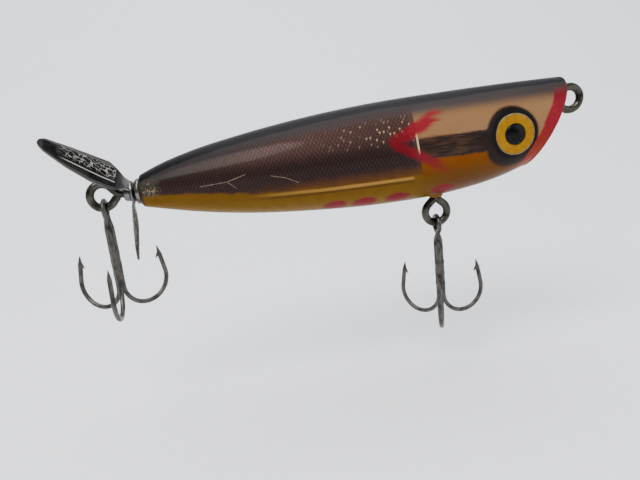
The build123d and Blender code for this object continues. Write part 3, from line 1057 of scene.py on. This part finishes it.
def make_treble(place, centre, azimuths, hook_material, braze_material):
    """A treble: the double hook with its eye bent from one wire, the single hook and the braze."""
    body = f"{place}_treble"
    foot = HOOK_EYE_Z - HOOK_EYE - 2.6
    single, single_radii, single_barb = hook_path(azimuths[0], SINGLE_TOP)
    first, first_radii, first_barb = hook_path(azimuths[1], foot)
    second, second_radii, second_barb = hook_path(azimuths[2], foot)
    eye = Vector((0, 0, HOOK_EYE_Z))
    turn_start = radians(-52)
    loop = []
    for k in range(41):
        turn = turn_start + (pi - 2 * turn_start) * k / 40
        loop.append(eye + Vector((0, cos(turn), sin(turn))) * HOOK_EYE)
    pull_up = Vector((0, -sin(turn_start), cos(turn_start))) * 2.2
    pull_down = Vector((0, -sin(turn_start), -cos(turn_start))) * 2.2
    rise = blend_points(first[0], (0, 0, 2.6), loop[0], pull_up, 12)[1:-1]
    fall = blend_points(loop[-1], pull_down, second[0], (0, 0, -2.6), 12)[1:-1]
    wire = first[::-1] + rise + loop + fall + second
    radii = first_radii[::-1] + [HOOK_WIRE] * (len(rise) + len(loop) + len(fall)) + second_radii
    single_radii[0] = HOOK_WIRE * 0.4
    single_radii[1] = HOOK_WIRE * 0.95
    double_shell = join(tube(wire, radii), first_barb, second_barb)
    single_shell = join(tube(single, single_radii), single_barb)
    for label, shell, material, slot, node in (
        ("double_wire", double_shell, hook_material, "hook_metal", "hook_double"),
        ("single_wire", single_shell, hook_material, "hook_metal", "hook_single"),
        ("braze", braze_shell(azimuths), braze_material, "braze", "hook_braze"),
    ):
        new_piece(f"{place}_{label}", in_metres(shell, centre), material, body, (f"{place}_{node}",))


def braze_shell(azimuths):
    """Lumpy braze that fills the grooves between three shanks."""
    sides = 36
    rows = []
    for k in range(25):
        share = k / 24
        z = BRAZE_SPAN[0] + (BRAZE_SPAN[1] - BRAZE_SPAN[0]) * share
        end = smooth_step(min(share, 1 - share), -0.02, 0.10)
        row = []
        for j in range(sides):
            turn = 2 * pi * j / sides
            lobes = cos(3 * (turn - radians(azimuths[0])))
            lump = 0.035 * sin(5.1 * share * pi + 2.0 * turn) + 0.02 * sin(17 * share + 5 * turn)
            radius = (0.98 + 0.13 * lobes + lump) * (0.55 + 0.45 * end)
            row.append(Vector((cos(turn) * radius, sin(turn) * radius, z)))
        rows.append(row)
    return skin(rows, closed_row=True, cap_ends=True)


# ---------------------------------------------------------------- pieces carried over

def cover_node(node, material):
    """Gives a CAD node that is shown as it is its material."""
    slots = frame["nodes"][node].data.materials
    slots.clear()
    slots.append(material)


# ---------------------------------------------------------------- stage

def make_stage():
    """A pale floor that curves up behind into a backdrop."""
    g = Graph("pale_backdrop")
    cloth = g.noise(3.0, 4.0)
    g.set(Base_Color=g.mix(cloth, (0.74, 0.755, 0.79), (0.80, 0.815, 0.845)), Roughness=0.9)
    low = CAD_BOX[0].z - FLOOR_GAP
    profile = [(-FLOOR_REACH, low), (COVE_START, low)]
    for step in range(1, 13):
        turn = pi / 2 * step / 12
        profile.append((COVE_START + COVE_RADIUS * sin(turn), low + COVE_RADIUS * (1 - cos(turn))))
    profile.append((COVE_START + COVE_RADIUS, BACKDROP_TOP))
    rows = [[Vector((x, y, z)) for x in (-FLOOR_REACH, FLOOR_REACH)] for y, z in profile]
    points, faces = skin(rows)
    mesh = bpy.data.meshes.new("floor")
    mesh.from_pydata([tuple(p) for p in points], [], faces)
    mesh.polygons.foreach_set("use_smooth", [True] * len(mesh.polygons))
    mesh.materials.append(g.material)
    floor = bpy.data.objects.new("floor", mesh)
    bpy.context.scene.collection.objects.link(floor)


def make_light(name, place, target, size, power, tone):
    """A round soft light that faces a target."""
    lamp = bpy.data.lights.new(name, "AREA")
    lamp.shape = "DISK"
    lamp.size = size
    lamp.energy = power
    lamp.color = tone
    holder = bpy.data.objects.new(name, lamp)
    holder.location = place
    holder.rotation_euler = (Vector(target) - Vector(place)).to_track_quat("-Z", "Y").to_euler()
    bpy.context.scene.collection.objects.link(holder)


def make_lighting():
    """A pale sky and three soft lights."""
    world = bpy.data.worlds.new("studio")
    world.use_nodes = True
    sky = world.node_tree.nodes["Background"].inputs
    sky["Color"].default_value = SKY
    sky["Strength"].default_value = SKY_STRENGTH
    bpy.context.scene.world = world
    middle = (CAD_BOX[0] + CAD_BOX[1]) / 2
    for name, (offset, size, power, tone) in LIGHTS.items():
        make_light(name, middle + Vector(offset), middle, size, power, tone)


def make_camera():
    """Slightly above the lure's side, from a little ahead of its middle, rolled so the nose rises."""
    camera = bpy.data.cameras.new("camera")
    camera.sensor_width = 36.0
    camera.lens = CAMERA_LENS
    camera.clip_start = 0.005
    holder = bpy.data.objects.new("camera", camera)
    place = TAIL_FACE + Vector(CAMERA_PLACE) * MM
    target = TAIL_FACE + Vector(CAMERA_TARGET) * MM
    aim = (target - place).to_track_quat("-Z", "Y").to_matrix()
    turned = aim @ Matrix.Rotation(CAMERA_ROLL, 3, "Z")
    holder.matrix_world = Matrix.Translation(place) @ turned.to_4x4()
    bpy.context.scene.collection.objects.link(holder)
    bpy.context.scene.camera = holder


make_camera()
make_lighting()
make_stage()

paint = hull_paint()
iris = glossy("iris_yellow", (0.26, 0.122, 0.0005), (0.19, 0.082, 0.0005), rough=0.35, coat=0.05)
rim = glossy("iris_rim", (0.20, 0.15, 0.07), (0.10, 0.07, 0.03), rough=0.3)
pupil = glossy("pupil_black", (0.002, 0.002, 0.002), (0.004, 0.004, 0.005), rough=0.15, coat=0.05)
amber = glossy("amber_collar", (0.20, 0.065, 0.006), (0.10, 0.032, 0.004), size=0.8)
wire = metal("screw_wire", (0.062, 0.059, 0.047), (0.017, 0.015, 0.012), (0.010, 0.008, 0.006), 0.33)
cup_metal = metal("cup_metal", (0.15, 0.146, 0.14), (0.020, 0.018, 0.016), (0.015, 0.012, 0.01), 0.26)
hook_metal = metal(
    "hook_metal", (0.085, 0.080, 0.072), (0.036, 0.033, 0.029), (0.015, 0.012, 0.009), 0.42, depth=0.05
)
braze = metal("braze", (0.085, 0.078, 0.068), (0.03, 0.026, 0.022), (0.015, 0.011, 0.008), 0.5, depth=0.09)
lead = metal("lead", (0.25, 0.25, 0.27), (0.15, 0.15, 0.16), (0.08, 0.08, 0.08), 0.6)
scale_foil = foil("scale_foil", (0.45, 0.27, 0.20), (0.25, 0.15, 0.12))
cheek_foil = foil("cheek_foil", (0.65, 0.45, 0.25), (0.45, 0.30, 0.16))

for label, side in (("left", 1), ("right", -1)):
    make_shell(label, side, paint)
    make_eye(side, label, iris, rim, pupil)
    cover_node(f"scale_reflector_{label}", scale_foil)
    cover_node(f"head_reflector_{label}", cheek_foil)
cover_node("ballast", lead)

make_belly_pad(amber)
make_screw_eye("line_tie", (0, 0, 0), (-1, 0, 0), (0, 0, 1), TIE_SCREW, wire)
make_screw_eye("belly_hanger", BELLY_RING, (0, 0, 1), (1, 0, 0), BELLY_SCREW, wire)
make_screw_eye("tail_hanger", TAIL_RING, (1, 0, 0), (0, 0, 1), TAIL_SCREW, wire)
make_cup("front_prop_cup", -0.05, 2.6, 1.2, cup_metal)
make_cup("rear_prop_cup", -2.0, 1.75, 1.3, cup_metal)
make_propeller(etched_blade())
make_treble("tail", TAIL_RING, TAIL_HOOK, hook_metal, braze)
make_treble("belly", BELLY_RING, BELLY_HOOK, hook_metal, braze)
